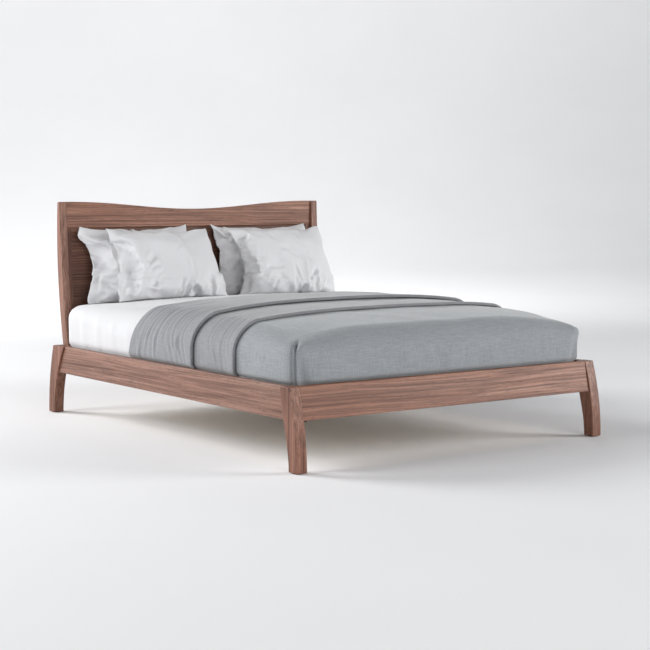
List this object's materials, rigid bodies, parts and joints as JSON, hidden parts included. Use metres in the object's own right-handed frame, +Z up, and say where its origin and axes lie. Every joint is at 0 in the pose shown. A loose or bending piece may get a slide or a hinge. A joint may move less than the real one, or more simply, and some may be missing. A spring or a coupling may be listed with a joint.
{
  "type": "sleigh bed",
  "caption": "Walnut bed with sabre legs, plain rails, a low foot end and a gently curved sleigh headboard, made up with mattress, sheet, pillows and a grey tucked bedspread.",
  "frame": {"origin": "on the floor, under the middle of the bed's footprint", "axes": "+Y towards the headboard, along the bed; +X to the right of a person lying in it; +Z up"},
  "size_m": [1.7, 2.222, 1.067],
  "materials": {
    "walnut": "oiled walnut, straight grain along each piece, satin",
    "birch": "plain sanded birch and plywood, hidden structure",
    "zinc_steel": "zinc-plated steel hardware",
    "black_nylon": "moulded black nylon",
    "webbing": "flat woven tape",
    "mattress_ticking": "plain woven mattress cover",
    "white_sheet": "white cotton percale, smooth and matt",
    "white_pillow": "white cotton pillowcases with creases",
    "grey_linen": "cool grey linen weave, matt"
  },
  "bodies": {
    "frame": {"leg_foot_left": "walnut", "leg_foot_right": "walnut", "leg_head_left": "walnut", "leg_head_right": "walnut", "side_rail_left": "walnut", "side_rail_right": "walnut", "foot_rail": "walnut", "head_cross_rail": "walnut", "headboard_post_left": "walnut", "headboard_post_right": "walnut", "headboard_top_rail": "walnut", "headboard_panel": "walnut", "headboard_bottom_rail": "walnut", "headboard_stile_left": "walnut", "headboard_stile_right": "walnut", "foot_cleat": "birch", "slat_ledger_left": "birch", "slat_ledger_right": "birch", "centre_beam": "birch", "centre_leg": "birch", "slat_01": "birch", "slat_02": "birch", "slat_03": "birch", "slat_04": "birch", "slat_05": "birch", "slat_06": "birch", "slat_07": "birch", "slat_08": "birch", "slat_09": "birch", "slat_10": "birch", "slat_11": "birch", "slat_12": "birch", "beam_hanger_foot": "zinc_steel", "beam_hanger_head": "zinc_steel", "centre_leg_plate": "zinc_steel", "leveller_insert": "zinc_steel", "rail_bolt_foot_left": "zinc_steel", "rail_bolt_foot_right": "zinc_steel", "rail_bolt_head_left": "zinc_steel", "rail_bolt_head_right": "zinc_steel", "post_bolt_lower_left": "zinc_steel", "post_bolt_lower_right": "zinc_steel", "post_bolt_upper_left": "zinc_steel", "post_bolt_upper_right": "zinc_steel", "glide_foot_left": "black_nylon", "glide_foot_right": "black_nylon", "glide_head_left": "black_nylon", "glide_head_right": "black_nylon", "slat_strap_left": "webbing", "slat_strap_right": "webbing", "mattress": "mattress_ticking", "fitted_sheet": "white_sheet", "pillow_back_left": "white_pillow", "pillow_back_right": "white_pillow", "pillow_front_left": "white_pillow", "pillow_front_right": "white_pillow", "bedspread": "grey_linen", "throw": "grey_linen"},
    "levelling_pad": {"leveller_pad": "black_nylon"},
    "levelling_stem": {"leveller_stem": "zinc_steel"}
  },
  "joints": [
    {"name": "leveller_lift", "type": "slide", "parent": "frame", "child": "levelling_pad", "axis": [0, 0, 1], "range_m": [0, 0.012]},
    {"name": "leveller_turn", "type": "hinge", "parent": "levelling_pad", "child": "levelling_stem", "pos_m": [0, 0.06, 0], "axis": [0, 0, 1], "range_deg": [0, 3460]}
  ],
  "couplings": [
    {"joint": "leveller_turn", "follows": "leveller_lift", "rad_per_m": 5026.5}
  ]
}
